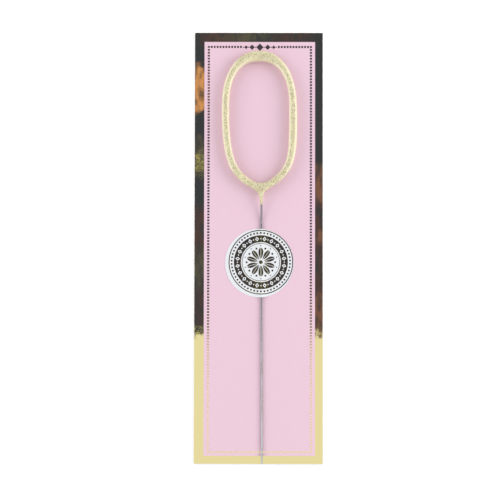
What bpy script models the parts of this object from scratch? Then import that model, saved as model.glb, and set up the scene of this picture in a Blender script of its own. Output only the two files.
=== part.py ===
"""A number sparkler on its display card, lying face up.

The card lies on the ground plane with its number end towards +Y and its face up.
The origin is the middle of the card's underside.
The sparkler is one steel wire, bent into a tall number 0 with a straight stem, and dipped in
sparkler mix down to a short tail. The stem lies on the card under a round label, which is stuck
down on both sides of it. The sparkler is drawn out of that tunnel along its stem, and the label
is peeled up from its right side. Lengths are in metres.

Places on the sparkler and the label are counted in a frame of their own: u across the stem and
v along it, with v = 0 at the middle of the label and rising towards the number.
"""

import math

import bmesh
import bpy
from mathutils import Vector

# The card: a white liner, a stiff board, gold foil paper and a pink sheet, glued in a stack
CARD_WIDTH = 0.0750
CARD_LENGTH = 0.2520
LINER_THICKNESS = 0.0002
BOARD_THICKNESS = 0.0010
FOIL_THICKNESS = 0.0001
PINK_THICKNESS = 0.0003
GLUE_LINE = 0.00005
GOLD_BORDER = 0.0051
PINK_SHIFT = 0.00055
PINK_DROP = 0.00038

# The wire, and how the stem lies on the card
WIRE_DIAMETER = 0.0012
WIRE_REST_GAP = 0.0001
STEM_SHIFT = 0.00162
STEM_LEAN = math.radians(0.25)
STEM_END_GAP = 0.0004
STEM_RELEASE = 0.0020

# The number 0, measured along the middle of its wire
NUMBER_TOP_GAP = 0.01105
NUMBER_WIDTH = 0.0395
CROWN_HEIGHT = 0.0306
ARMS_HEIGHT = 0.0474
NUMBER_SHIFT = -0.00095
JUNCTION_SHIFT = -0.00015
CROWN_ROUNDNESS = 2.33
ARM_RISE = math.radians(27)
# How far each arm runs on towards its end tangents, as shares of the arms' height
RIGHT_ARM_PULL_SHARES = (0.455, 0.66)
LEFT_ARM_PULL_SHARES = (0.345, 0.765)

# The sparkler mix on the wire. It hangs by the stem while it dries, so it runs thinner at the
# foot of the number and gathers thicker on the crown, and a little on the right side.
COATING_WALL = 0.0016
FOOT_WALL = 0.0013
CROWN_WALL = 0.0026
RIGHT_SWELL = 0.00025
# How far the thin foot and the thick crown reach, and where the swelling of the right side lies,
# as shares of the way round the number
FOOT_REACH_SHARE = 0.06
CROWN_REACH_SHARE = 0.12
SWELL_MIDDLE_SHARE = 0.22
SWELL_REACH_SHARE = 0.13
BORE_CLEARANCE = 0.00006
STRAND_WALL = 0.0002
JUNCTION_WALL = 0.0005
TAIL_LENGTH = 0.0092
TAIL_SHIFT = 0.00018
TAIL_MOUTH_WALL = 0.0002
# Where the tail narrows, as shares of its length, and how much of the mouth-to-junction
# difference in radius is left there
TAIL_TAPER_SHARES = ((0.18, 1.05), (0.34, 0.75), (0.50, 0.22), (0.75, 0.03))

# The round label over the stem
LABEL_DIAMETER = 0.0400
LABEL_THICKNESS = 0.00012
LABEL_DROP = 0.0430
LABEL_SHIFT = -0.00115
TUNNEL_CLEARANCE = 0.00015
TENT_SLOPE = math.radians(23)
FOOT_BEND = 0.0020

# Fineness of the solids
WIRE_POINTS_ROUND_NUMBER = 64
COATING_POINTS_ROUND_NUMBER = 49
DENSE_POINTS = 240
KINK_STEPS = 4
RETURN_STEPS = 3
WRAP_STEPS = 4
FOOT_STEPS = 4
LABEL_SIDES = 64
WIRE_BEVEL_RESOLUTION = 2
SKIN_SUBDIVISIONS = 2
# A smoothed skin is this much thinner than the radius it is given
SKIN_DRAW_IN_SHARE = 0.93
# Bends of the stem between the label and the tail: how far along, and how much of the tail's
# shift is reached there
STEM_KINK_SHARES = ((0.30, 0.0), (0.62, 1.15))
CUT_OVERRUN = 0.0010
WELD_DISTANCE = 0.000001

# Levels up through the stack
BOARD_BOTTOM = LINER_THICKNESS + GLUE_LINE
FOIL_BOTTOM = BOARD_BOTTOM + BOARD_THICKNESS + GLUE_LINE
PINK_BOTTOM = FOIL_BOTTOM + FOIL_THICKNESS + GLUE_LINE
CARD_FACE = PINK_BOTTOM + PINK_THICKNESS
LABEL_BOTTOM = CARD_FACE + GLUE_LINE

WIRE_RADIUS = WIRE_DIAMETER / 2
BORE_RADIUS = WIRE_RADIUS + BORE_CLEARANCE
COATING_RADIUS = WIRE_RADIUS + COATING_WALL
FOOT_RADIUS = WIRE_RADIUS + FOOT_WALL
CROWN_RADIUS = WIRE_RADIUS + CROWN_WALL
STEM_LEVEL = CARD_FACE + WIRE_REST_GAP + WIRE_RADIUS
NUMBER_LEVEL = CARD_FACE + WIRE_REST_GAP + CROWN_RADIUS
LABEL_RADIUS = LABEL_DIAMETER / 2

# The label's tent over the stem: an arc over the wire, left at the tent's slope, a straight
# flank on each side, and a soft bend at its foot that runs out flat on the card
WRAP_RADIUS = WIRE_RADIUS + TUNNEL_CLEARANCE
WRAP_REACH = WRAP_RADIUS * math.sin(TENT_SLOPE)
WRAP_HEIGHT = STEM_LEVEL - LABEL_BOTTOM + WRAP_RADIUS * math.cos(TENT_SLOPE)
FOOT_MIDDLE = WRAP_REACH + WRAP_HEIGHT / math.tan(TENT_SLOPE)
TENT_REACH = FOOT_MIDDLE + FOOT_BEND * math.tan(TENT_SLOPE / 2)

# Places along the stem
JUNCTION_V = LABEL_DROP
WAIST_V = JUNCTION_V + ARMS_HEIGHT
CROWN_V = WAIST_V + CROWN_HEIGHT
TAIL_MOUTH_V = JUNCTION_V - TAIL_LENGTH
STEM_FREE_V = LABEL_RADIUS + STEM_RELEASE
LABEL_Y = CARD_LENGTH / 2 - NUMBER_TOP_GAP - CROWN_RADIUS - CROWN_V
STEM_END_V = -(LABEL_Y + CARD_LENGTH / 2 - STEM_END_GAP) / math.cos(STEM_LEAN)

# The wire passes the junction twice, side by side, this far from the tail's middle
STRAND_OFFSET = BORE_RADIUS + STRAND_WALL / 2
JUNCTION_RADIUS = STRAND_OFFSET + BORE_RADIUS + JUNCTION_WALL


def clear_scene():
    for obj in list(bpy.data.objects):
        bpy.data.objects.remove(obj)


def new_collection(name):
    collection = bpy.data.collections.new(name)
    bpy.context.scene.collection.children.link(collection)
    return collection


def new_material(name, colour, roughness, metallic=0.0):
    material = bpy.data.materials.new(name)
    material.use_nodes = True
    shader = material.node_tree.nodes["Principled BSDF"]
    shader.inputs["Base Color"].default_value = (*colour, 1.0)
    shader.inputs["Roughness"].default_value = roughness
    shader.inputs["Metallic"].default_value = metallic
    return material


def new_object(name, data, collection, material=None, parent=None):
    obj = bpy.data.objects.new(name, data)
    collection.objects.link(obj)
    if material:
        obj.data.materials.append(material)
    obj.parent = parent
    return obj


def new_empty(name, collection, location, turn):
    """An empty on a joint's axis, turned so that its Y runs along the stem."""
    empty = new_object(name, None, collection)
    empty.location = location
    empty.rotation_euler = (0, 0, turn)
    return empty


def new_sheet(name, width, length, bottom, thickness, collection, material, shift=(0, 0)):
    """A flat sheet of the card, as a box."""
    mesh = bpy.data.meshes.new(name)
    bm = bmesh.new()
    bmesh.ops.create_cube(bm, size=1.0)
    bmesh.ops.scale(bm, vec=(width, length, thickness), verts=bm.verts)
    bmesh.ops.translate(bm, vec=(0, 0, bottom + thickness / 2), verts=bm.verts)
    bm.to_mesh(mesh)
    bm.free()
    sheet = new_object(name, mesh, collection, material)
    sheet.location.x, sheet.location.y = shift
    return sheet


def bezier(start, start_pull, end_pull, end, count):
    """Points along one cubic curve, with both ends."""
    points = []
    for step in range(count):
        t = step / (count - 1)
        points.append(
            start * (1 - t) ** 3
            + start_pull * 3 * t * (1 - t) ** 2
            + end_pull * 3 * t * t * (1 - t)
            + end * t**3
        )
    return points


def even_points(points, count):
    """The same route in a given number of equal steps."""
    reach = [0.0]
    for a, b in zip(points, points[1:]):
        reach.append(reach[-1] + (b - a).length)
    even, leg = [], 0
    for step in range(count):
        target = reach[-1] * step / (count - 1)
        while leg < len(points) - 2 and reach[leg + 1] < target:
            leg += 1
        share = (target - reach[leg]) / (reach[leg + 1] - reach[leg])
        even.append(points[leg].lerp(points[leg + 1], min(share, 1.0)))
    return even


def arm(side, start):
    """One side of the number from a start near the junction up to the waist. Side is 1 or -1."""
    low_pull, high_pull = RIGHT_ARM_PULL_SHARES if side > 0 else LEFT_ARM_PULL_SHARES
    waist = Vector((NUMBER_SHIFT + side * NUMBER_WIDTH / 2, WAIST_V))
    outwards = Vector((side * math.cos(ARM_RISE), math.sin(ARM_RISE)))
    return bezier(
        start,
        start + outwards * ARMS_HEIGHT * low_pull,
        waist - Vector((0, ARMS_HEIGHT * high_pull)),
        waist,
        DENSE_POINTS,
    )


def crown():
    """The top of the number from the right waist round to the left, squarer than an ellipse."""
    points = []
    for step in range(1, DENSE_POINTS):
        angle = math.pi * step / DENSE_POINTS
        across = math.copysign(abs(math.cos(angle)) ** (2 / CROWN_ROUNDNESS), math.cos(angle))
        up = math.sin(angle) ** (2 / CROWN_ROUNDNESS)
        points.append(
            Vector((NUMBER_SHIFT + across * NUMBER_WIDTH / 2, WAIST_V + up * CROWN_HEIGHT))
        )
    return points


def number_route(right_start, left_start, count):
    """The number's middle line, up the right side, over the crown and down the left side."""
    route = arm(1, right_start) + crown() + arm(-1, left_start)[::-1]
    return even_points(route, count)


def level_at(v):
    """Height of the wire's middle: low under the label, and level with the mix from the tail up."""
    share = (v - STEM_FREE_V) / (JUNCTION_V - TAIL_LENGTH / 2 - STEM_FREE_V)
    share = max(0.0, min(1.0, share))
    eased = share * share * (3 - 2 * share)
    return STEM_LEVEL + (NUMBER_LEVEL - STEM_LEVEL) * eased


def raised(points):
    """Points of the card's plane lifted to the level at which the wire lies there."""
    return [Vector((p.x, p.y, level_at(p.y))) for p in points]


def stem_route():
    """The stem from its cut end to the tail's mouth, with the slight kinks above the label."""
    route = [Vector((0, STEM_END_V)), Vector((0, STEM_FREE_V))]
    for along, sideways in STEM_KINK_SHARES:
        v = STEM_FREE_V + (TAIL_MOUTH_V - STEM_FREE_V) * along
        route.append(Vector((sideways * TAIL_SHIFT, v)))
    route.append(Vector((TAIL_SHIFT, TAIL_MOUTH_V)))
    return route


def smooth_route(guides, steps):
    """A smooth curve through guide points, with so many steps between two of them."""
    ends = [guides[0] * 2 - guides[1], *guides, guides[-1] * 2 - guides[-2]]
    points = []
    for a, b, c, d in zip(ends, ends[1:], ends[2:], ends[3:]):
        pull = (c - b).length / 3
        along_b = (c - a).normalized() * pull
        along_c = (d - b).normalized() * pull
        points += bezier(b, b + along_b, c - along_c, c, steps + 1)[:-1]
    return [*points, guides[-1]]


def wire_route(return_end_extra=0.0):
    """The whole wire: up the stem, past the junction, round the number and back beside the stem."""
    right_strand = Vector((JUNCTION_SHIFT + STRAND_OFFSET, JUNCTION_V - STRAND_OFFSET))
    left_strand = Vector((JUNCTION_SHIFT - STRAND_OFFSET, JUNCTION_V - STRAND_OFFSET))
    return_end = left_strand - Vector((0, STRAND_OFFSET + return_end_extra))
    right_start = right_strand + Vector((STRAND_OFFSET, STRAND_OFFSET * 2))
    left_start = left_strand + Vector((-STRAND_OFFSET, STRAND_OFFSET * 2))
    number = number_route(right_start, left_start, WIRE_POINTS_ROUND_NUMBER)
    stem = stem_route()
    kinks = smooth_route([*stem[1:], right_strand, number[0]], KINK_STEPS)
    way_back = smooth_route([number[-1], left_strand, return_end], RETURN_STEPS)
    return raised([stem[0], *kinks, *number[1:], *way_back[1:]])


def new_tube(name, points, radius, collection, material=None, parent=None):
    """A round tube along points, with closed ends."""
    data = bpy.data.curves.new(name, "CURVE")
    data.dimensions = "3D"
    data.bevel_depth = radius
    data.bevel_resolution = WIRE_BEVEL_RESOLUTION
    data.use_fill_caps = True
    spline = data.splines.new("POLY")
    spline.points.add(len(points) - 1)
    for slot, point in zip(spline.points, points):
        slot.co = (*point, 1.0)
    return new_object(name, data, collection, material, parent)


def as_mesh(curve, collection):
    """The curve's evaluated mesh as an object of the same name, with its caps welded."""
    name, parent = curve.name, curve.parent
    bpy.context.view_layer.update()
    graph = bpy.context.evaluated_depsgraph_get()
    mesh = bpy.data.meshes.new_from_object(curve.evaluated_get(graph))
    local = curve.matrix_basis.copy()
    bpy.data.objects.remove(curve)
    bm = bmesh.new()
    bm.from_mesh(mesh)
    bmesh.ops.remove_doubles(bm, verts=bm.verts, dist=WELD_DISTANCE)
    bm.to_mesh(mesh)
    bm.free()
    obj = new_object(name, mesh, collection, parent=parent)
    obj.matrix_basis = local
    return obj


def hide_cutter(obj):
    obj.hide_render = True
    obj.display_type = "WIRE"


def add_boolean(obj, cutter, operation):
    modifier = obj.modifiers.new(cutter.name, "BOOLEAN")
    modifier.operation = operation
    modifier.object = cutter


def tail_skeleton():
    """Middle points and radii of the mix's tail, from under the junction down to its mouth."""
    mouth_radius = BORE_RADIUS + TAIL_MOUTH_WALL
    points, radii = [], []
    for along, left in (*TAIL_TAPER_SHARES, (1.0, 0.0)):
        shift = JUNCTION_SHIFT + (TAIL_SHIFT - JUNCTION_SHIFT) * along
        points.append(Vector((shift, JUNCTION_V - TAIL_LENGTH * along)))
        radii.append(mouth_radius + (JUNCTION_RADIUS - mouth_radius) * left)
    return points, radii


def coating_radius(share):
    """Radius of the mix at a share of the way round the number, from the junction."""
    from_junction = min(share, 1 - share)
    foot = math.cos(min(1.0, from_junction / FOOT_REACH_SHARE) * math.pi / 2) ** 2
    top = math.cos(min(1.0, abs(share - 1 / 2) / CROWN_REACH_SHARE) * math.pi / 2) ** 2
    from_swell = abs(share - SWELL_MIDDLE_SHARE) / SWELL_REACH_SHARE
    swell = math.cos(min(1.0, from_swell) * math.pi / 2) ** 2
    thinned = (FOOT_RADIUS - COATING_RADIUS) * foot
    gathered = (CROWN_RADIUS - COATING_RADIUS) * top + RIGHT_SWELL * swell
    return COATING_RADIUS + thinned + gathered


def build_coating(collection, cutters, material, parent):
    """The sparkler mix: a skin over a closed skeleton with a tail, bored out for the wire."""
    junction = Vector((JUNCTION_SHIFT, JUNCTION_V))
    ring = number_route(junction, junction, COATING_POINTS_ROUND_NUMBER)[:-1]
    tail, tail_radii = tail_skeleton()
    arms = [coating_radius(step / len(ring)) for step in range(1, len(ring))]
    radii = [JUNCTION_RADIUS, *arms, *tail_radii]
    edges = [(i, (i + 1) % len(ring)) for i in range(len(ring))]
    tail_indices = [0, *range(len(ring), len(ring) + len(tail))]
    edges += list(zip(tail_indices, tail_indices[1:]))
    mesh = bpy.data.meshes.new("sparkler_coating")
    mesh.from_pydata(raised(ring + tail), edges, [])
    coating = new_object("sparkler_coating", mesh, collection, material, parent)
    skin = coating.modifiers.new("skin", "SKIN")
    skin.use_smooth_shade = True
    for slot, radius in zip(mesh.skin_vertices[0].data, radii):
        slot.radius = (radius / SKIN_DRAW_IN_SHARE, radius / SKIN_DRAW_IN_SHARE)
    mesh.skin_vertices[0].data[0].use_root = True
    smooth = coating.modifiers.new("smooth", "SUBSURF")
    smooth.levels = SKIN_SUBDIVISIONS
    smooth.render_levels = SKIN_SUBDIVISIONS
    bore = new_tube("bore_cutter", wire_route(BORE_CLEARANCE), BORE_RADIUS, cutters, parent=parent)
    bore = as_mesh(bore, cutters)
    hide_cutter(bore)
    add_boolean(coating, bore, "DIFFERENCE")
    return coating


def tent_side():
    """One side of the tent, from the top of the wire out to where the label meets the card."""
    points = []
    for step in range(WRAP_STEPS + 1):
        turn = TENT_SLOPE * step / WRAP_STEPS
        level = STEM_LEVEL - LABEL_BOTTOM + WRAP_RADIUS * math.cos(turn)
        points.append(Vector((WRAP_RADIUS * math.sin(turn), level)))
    for step in range(FOOT_STEPS + 1):
        turn = TENT_SLOPE * (1 - step / FOOT_STEPS)
        height = FOOT_BEND * (1 - math.cos(turn))
        points.append(Vector((TENT_REACH - FOOT_BEND * math.sin(turn), height)))
    return points


def label_section():
    """The label's cross-section: flat on the card, and raised like a tent over the stem."""
    edge = LABEL_RADIUS + CUT_OVERRUN
    right_side = tent_side()
    left_side = [Vector((-point.x, point.y)) for point in right_side[:0:-1]]
    left_edge = Vector((LABEL_SHIFT - edge, 0))
    right_edge = Vector((LABEL_SHIFT + edge, 0))
    under = [left_edge, *left_side, *right_side, right_edge]
    over = [point + Vector((0, LABEL_THICKNESS)) for point in under]
    return under + over[::-1]


def build_label(collection, cutters, material, hinge):
    """The label: its section drawn out along the stem, then trimmed to a disc."""
    data = bpy.data.curves.new("round_label", "CURVE")
    data.dimensions = "2D"
    data.fill_mode = "BOTH"
    data.extrude = LABEL_RADIUS + CUT_OVERRUN
    outline = label_section()
    spline = data.splines.new("POLY")
    spline.points.add(len(outline) - 1)
    spline.use_cyclic_u = True
    from_hinge = LABEL_RADIUS - LABEL_SHIFT
    for slot, point in zip(spline.points, outline):
        slot.co = (point.x + from_hinge, point.y, 0, 1)
    label = new_object("round_label", data, collection, parent=hinge)
    label.rotation_euler.x = math.pi / 2
    label = as_mesh(label, collection)
    label.data.materials.append(material)
    mesh = bpy.data.meshes.new("label_die")
    bm = bmesh.new()
    bmesh.ops.create_cone(
        bm,
        cap_ends=True,
        segments=LABEL_SIDES,
        radius1=LABEL_RADIUS,
        radius2=LABEL_RADIUS,
        depth=LABEL_RADIUS,
    )
    bm.to_mesh(mesh)
    bm.free()
    die = new_object("label_die", mesh, cutters, parent=hinge)
    die.location.x = LABEL_RADIUS
    hide_cutter(die)
    add_boolean(label, die, "INTERSECT")
    return label


def build_card(collection):
    """The four glued layers of the card, from the bottom up."""
    liner = new_material("liner_paper", (0.86, 0.85, 0.83), 0.7)
    board = new_material("grey_board", (0.62, 0.58, 0.53), 0.9)
    foil = new_material("gold_foil", (0.83, 0.68, 0.36), 0.15, 1.0)
    pink = new_material("pink_paper", (0.84, 0.62, 0.72), 0.55)
    new_sheet("back_liner", CARD_WIDTH, CARD_LENGTH, 0, LINER_THICKNESS, collection, liner)
    new_sheet(
        "backing_board", CARD_WIDTH, CARD_LENGTH, BOARD_BOTTOM, BOARD_THICKNESS, collection, board
    )
    new_sheet(
        "gold_foil_sheet", CARD_WIDTH, CARD_LENGTH, FOIL_BOTTOM, FOIL_THICKNESS, collection, foil
    )
    new_sheet(
        "pink_face_sheet",
        CARD_WIDTH - 2 * GOLD_BORDER,
        CARD_LENGTH - 2 * GOLD_BORDER,
        PINK_BOTTOM,
        PINK_THICKNESS,
        collection,
        pink,
        shift=(PINK_SHIFT, -PINK_DROP),
    )


def main():
    clear_scene()
    parts = new_collection("carded_number_sparkler")
    cutters = new_collection("cutters")
    build_card(parts)
    stem_axis = new_empty("stem_axis", parts, (STEM_SHIFT, LABEL_Y, 0), STEM_LEAN)
    along = Vector((math.cos(STEM_LEAN), math.sin(STEM_LEAN), 0))
    hinge_place = Vector((STEM_SHIFT, LABEL_Y, LABEL_BOTTOM)) + along * (LABEL_SHIFT - LABEL_RADIUS)
    label_hinge = new_empty("label_hinge", parts, hinge_place, STEM_LEAN)
    steel = new_material("steel_wire", (0.42, 0.43, 0.43), 0.35, 1.0)
    mix = new_material("sparkler_mix", (0.78, 0.72, 0.46), 0.5, 0.5)
    vinyl = new_material("label_vinyl", (0.88, 0.89, 0.91), 0.3)
    new_tube("core_wire", wire_route(), WIRE_RADIUS, parts, steel, stem_axis)
    build_coating(parts, cutters, mix, stem_axis)
    build_label(parts, cutters, vinyl, label_hinge)


main()
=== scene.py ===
# %% [markdown]
# # A number sparkler on its display card
#
# A gold sparkler, bent from one wire into a tall 0, is held on a pink and gold card by a round
# sticker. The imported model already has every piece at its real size. This lesson gives the
# pieces their finish: metallised foil, matt printed paper, drawn steel and a grainy gold mix.

# %% Load the fixed model
import functools
import math

import bpy
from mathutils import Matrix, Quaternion, Vector


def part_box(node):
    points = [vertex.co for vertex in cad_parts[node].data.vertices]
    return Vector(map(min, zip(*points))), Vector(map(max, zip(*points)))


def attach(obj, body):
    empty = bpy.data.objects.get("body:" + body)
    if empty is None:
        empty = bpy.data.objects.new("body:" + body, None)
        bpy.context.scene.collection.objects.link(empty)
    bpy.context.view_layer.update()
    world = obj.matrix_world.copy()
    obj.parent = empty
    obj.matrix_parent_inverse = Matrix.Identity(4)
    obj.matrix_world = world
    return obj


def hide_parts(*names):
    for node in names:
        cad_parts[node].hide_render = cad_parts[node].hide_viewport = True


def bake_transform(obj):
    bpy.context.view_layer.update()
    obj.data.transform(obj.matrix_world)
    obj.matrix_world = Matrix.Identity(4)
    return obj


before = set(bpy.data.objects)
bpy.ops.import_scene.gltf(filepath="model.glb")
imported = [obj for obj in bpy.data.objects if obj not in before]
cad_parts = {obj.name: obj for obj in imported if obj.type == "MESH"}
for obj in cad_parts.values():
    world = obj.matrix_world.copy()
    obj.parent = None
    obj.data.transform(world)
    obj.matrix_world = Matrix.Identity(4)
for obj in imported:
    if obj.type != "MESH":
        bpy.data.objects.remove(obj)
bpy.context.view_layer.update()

MM = 0.001


def in_mm(*lengths):
    """Lengths as text, in millimetres."""
    return " x ".join(str(round(length / MM, 2)) for length in lengths) + " mm"


print("nodes:", ", ".join(sorted(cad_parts)))

# %% [markdown]
# ## Where things are
#
# Sizes that the model already has are measured on it. The stem leans a quarter of a degree, so
# places on the sparkler and the sticker are counted in a frame of their own: u across the stem, v
# along it, and v = 0 at the sticker's middle. One function turns them into places in the scene.

# %% Measure the card and set the stem's frame
foil_low, foil_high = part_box("gold_foil_sheet")
pink_low, pink_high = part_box("pink_face_sheet")
label_low, label_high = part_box("round_label")
FACE = pink_high.z
STEM_SHIFT = 1.62 * MM
STEM_LEAN = math.radians(0.25)
LABEL_SHIFT = -1.15 * MM
LABEL_Y = (label_low.y + label_high.y) / 2 - LABEL_SHIFT * math.sin(STEM_LEAN)


def place(u, v, level):
    """A place counted along the stem, as a place in the scene."""
    across = Vector((math.cos(STEM_LEAN), math.sin(STEM_LEAN), 0))
    along = Vector((-math.sin(STEM_LEAN), math.cos(STEM_LEAN), 0))
    return Vector((STEM_SHIFT, LABEL_Y, level)) + across * u + along * v


print("card face at", in_mm(FACE), "and the sticker's middle at y", in_mm(LABEL_Y))

# %% [markdown]
# ## The camera
#
# The photograph was taken from almost straight above, with a long lens. The camera could be
# placed by eye, but the four corners of the card give its place, so it is set by numbers: what it
# looks at, from how far, and its three turns. Depth of field stays off.

# %% Place the camera
VIEW_TARGET = Vector((-5.00, -1.56, 0)) * MM
VIEW_DISTANCE = 1000 * MM
VIEW_AZIMUTH = math.radians(5.936)
VIEW_ELEVATION = math.radians(87.558)
VIEW_ROLL = math.radians(-5.831)
LENS = 123.14
SENSOR = 36.0

back = Vector((
    math.sin(VIEW_AZIMUTH) * math.cos(VIEW_ELEVATION),
    -math.cos(VIEW_AZIMUTH) * math.cos(VIEW_ELEVATION),
    math.sin(VIEW_ELEVATION),
))
bpy.ops.object.camera_add(location=VIEW_TARGET + back * VIEW_DISTANCE)
camera = bpy.context.object
camera.name = "view_camera"
camera.rotation_mode = "QUATERNION"
aim = (-back).to_track_quat("-Z", "Y")
camera.rotation_quaternion = aim @ Quaternion((0, 0, 1), VIEW_ROLL)
camera.data.lens = LENS
camera.data.sensor_width = SENSOR
bpy.context.scene.camera = camera
bpy.context.scene.view_settings.view_transform = "Standard"
print("camera at", in_mm(*camera.location))

# %% [markdown]
# ## Helpers for nodes
#
# A finish is a small graph of nodes. Written out in full it is long, so a few helpers keep it
# short. The first ones join sockets by name, place a node, and do a sum on values or vectors. A
# new node goes into the tree that its inputs come from.

# %% Define how nodes are placed and joined


def join(value, socket):
    """Links a socket's output to an input, or sets the input to a plain value."""
    if isinstance(value, bpy.types.NodeSocket):
        socket.id_data.links.new(value, socket)
    elif socket.type == "RGBA":
        socket.default_value = (*value, 1)
    else:
        socket.default_value = value


def join_all(node, **inputs):
    """Joins or sets several inputs of a node. Their names are written with _ for a space."""
    for name, value in inputs.items():
        join(value, node.inputs[name.replace("_", " ")])
    return node


def add_node(tree, kind, settings=(), **inputs):
    """A new node with its settings and its inputs."""
    node = tree.nodes.new("ShaderNode" + kind)
    for name, value in dict(settings).items():
        setattr(node, name, value)
    return join_all(node, **inputs)


def tree_of(*values):
    """The node tree that the sockets among some values are in."""
    return next(value.id_data for value in values if isinstance(value, bpy.types.NodeSocket))


def sums(operation, *values, kind="Math"):
    """One step of arithmetic, with the values on the inputs by their order."""
    node = add_node(tree_of(*values), kind, {"operation": operation})
    for value, socket in zip(values, node.inputs):
        join(value, socket)
    return node.outputs["Value" if operation == "LENGTH" else 0]


def vector_sums(operation, *vectors):
    """One step of arithmetic on vectors. A length comes out as a value."""
    return sums(operation, *vectors, kind="VectorMath")


# %% [markdown]
# The next ones are the steps that every finish is made of: where a point is, a cloudy pattern, a
# soft threshold, and a blend of two values or colours. A material starts as the Principled shader
# with its plain values on its own sockets.

# %% Define the steps of a finish


def object_place(tree):
    """Where a point of the surface is on its piece, in metres."""
    return add_node(tree, "TexCoord").outputs["Object"]


def part_of(vector, axis):
    """One of the three numbers of a vector."""
    return add_node(tree_of(vector), "SeparateXYZ", Vector=vector).outputs[axis]


def noise(where, scale, detail, result="Fac", **more):
    """A cloudy pattern from 0 to 1."""
    inputs = {"Vector": where, "Scale": scale, "Detail": detail, **more}
    return add_node(tree_of(where), "TexNoise", **inputs).outputs[result]


def soft_step(value, low, high):
    """Rises softly from 0 at low to 1 at high, or falls if low is above high."""
    inputs = {"Value": value, "From_Min": low, "From_Max": high}
    settings = {"interpolation_type": "SMOOTHSTEP"}
    return add_node(tree_of(value), "MapRange", settings, **inputs).outputs[0]


def blend(share, first, second):
    """A value between two values, or a colour between two colours."""
    tree = tree_of(share, first, second)
    if isinstance(second, tuple) or getattr(second, "type", "") == "RGBA":
        node = add_node(tree, "Mix", {"data_type": "RGBA"}, Factor=share)
        join(first, node.inputs[6])
        join(second, node.inputs[7])
        return node.outputs[2]
    return add_node(tree, "Mix", Factor=share, A=first, B=second).outputs[0]


def times(first, second):
    """The product of two values. Of two masks it is 1 where both are."""
    return sums("MULTIPLY", first, second)


def within_one(value):
    """The value, kept from 0 to 1."""
    return sums("MAXIMUM", sums("MINIMUM", value, 1), 0)


def any_of(*masks):
    """1 where any of the masks is 1."""
    return functools.reduce(lambda total, mask: sums("MAXIMUM", total, mask), masks)


def add_bump(height, distance, normal=None):
    """Turns a height from 0 to 1 into a tilt of the surface, with its depth in metres."""
    bump = add_node(tree_of(height), "Bump", Height=height, Distance=distance)
    if normal is not None:
        join(normal, bump.inputs["Normal"])
    return bump.outputs["Normal"]


def new_material(name, colour, roughness, metallic=0.0):
    """A material with its plain values on the shader. Gives the material, tree and shader."""
    material = bpy.data.materials.new(name)
    material.use_nodes = True
    shader = material.node_tree.nodes["Principled BSDF"]
    join_all(shader, Base_Color=colour, Roughness=roughness, Metallic=metallic)
    return material, material.node_tree, shader


# %% [markdown]
# ## Plain soft light
#
# Two softboxes stand low on the left and right, and a plain room with bright walls and a dim
# ceiling gives the rest, so round things get bright flanks and a duller top. The photograph's
# shadows fall mostly to the left, so the right lamp is the stronger one. Both are large, so that
# the raised wire casts no sharp shadow. A mirror would show them as glaring squares, so they are
# kept out of reflections.
#
# Each lamp is given by its share of the light on the card. Together with the room the shares make
# about 1, at which a colour renders as it is written. The power follows from the lamp's distance
# and slant.

# %% Add the lamps
RIGHT_SHARE = 0.21
LEFT_SHARE = 0.13
ROOM_SHARE = 0.72
LAMP_SIDE = 700 * MM
LAMP_ASIDE = 1100 * MM
LAMP_BEHIND = 240 * MM
LAMP_HEIGHT = 700 * MM


def add_softbox(name, aside, share):
    """A square area lamp aimed at the card, which gives that share of the card's light."""
    bpy.ops.object.light_add(type="AREA", location=(aside, LAMP_BEHIND, LAMP_HEIGHT))
    lamp = bpy.context.object
    lamp.name = name
    lamp.rotation_mode = "QUATERNION"
    lamp.rotation_quaternion = (-lamp.location).to_track_quat("-Z", "Y")
    lamp.visible_glossy = False
    lamp.data.shape = "SQUARE"
    lamp.data.size = LAMP_SIDE
    lamp.data.energy = share * math.pi**2 * lamp.location.length**3 / LAMP_HEIGHT
    print(name, round(lamp.data.energy, 2), "W")


add_softbox("softbox_right", LAMP_ASIDE, RIGHT_SHARE)
add_softbox("softbox_left", -LAMP_ASIDE, LEFT_SHARE)

# %% [markdown]
# The room is the world's background. Its light grows from the ceiling's share overhead to the
# walls' share sideways. A wall light of w and a ceiling light of c give a flat card (w + c) / 2,
# so the walls' share follows from the other two. What the camera and mirrors see of it is white.

# %% Light the room
CEILING_SHARE = 0.45 * ROOM_SHARE
WALL_SHARE = 2 * ROOM_SHARE - CEILING_SHARE
SEEN_RAYS = ("Is Camera Ray", "Is Glossy Ray", "Is Transmission Ray")


def seen_directly(tree):
    """1 for what the camera sees straight, in a mirror or through glass."""
    rays = add_node(tree, "LightPath")
    return any_of(*(rays.outputs[name] for name in SEEN_RAYS))


world = bpy.data.worlds.new("bright_room")
bpy.context.scene.world = world
world.use_nodes = True
tree = world.node_tree
direction = add_node(tree, "TexCoord").outputs["Generated"]
upward = sums("POWER", part_of(direction, "Z"), 2)
room = blend(upward, WALL_SHARE, CEILING_SHARE)
strength = blend(seen_directly(tree), room, 1)
join_all(tree.nodes["Background"], Color=(1, 1, 1), Strength=strength)
print("light from the walls", round(WALL_SHARE, 3), "and from above", round(CEILING_SHARE, 3))

# %% [markdown]
# ## The floor
#
# The card lies on a white matt floor. What the camera and the mirrors see of it glows a little, so
# that it reads as white while the faint shadow beside the card stays. It would leave the card's
# underside black in a view from below, so it is clear for whoever looks up through it, and for
# the light that lands on things.

# %% Make the floor
FLOOR_SIDE = 6000 * MM
FLOOR_DROP = 0.02 * MM
FLOOR_WHITE = 0.9
FLOOR_ROUGHNESS = 0.9
FLOOR_GLOW = 0.3

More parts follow.
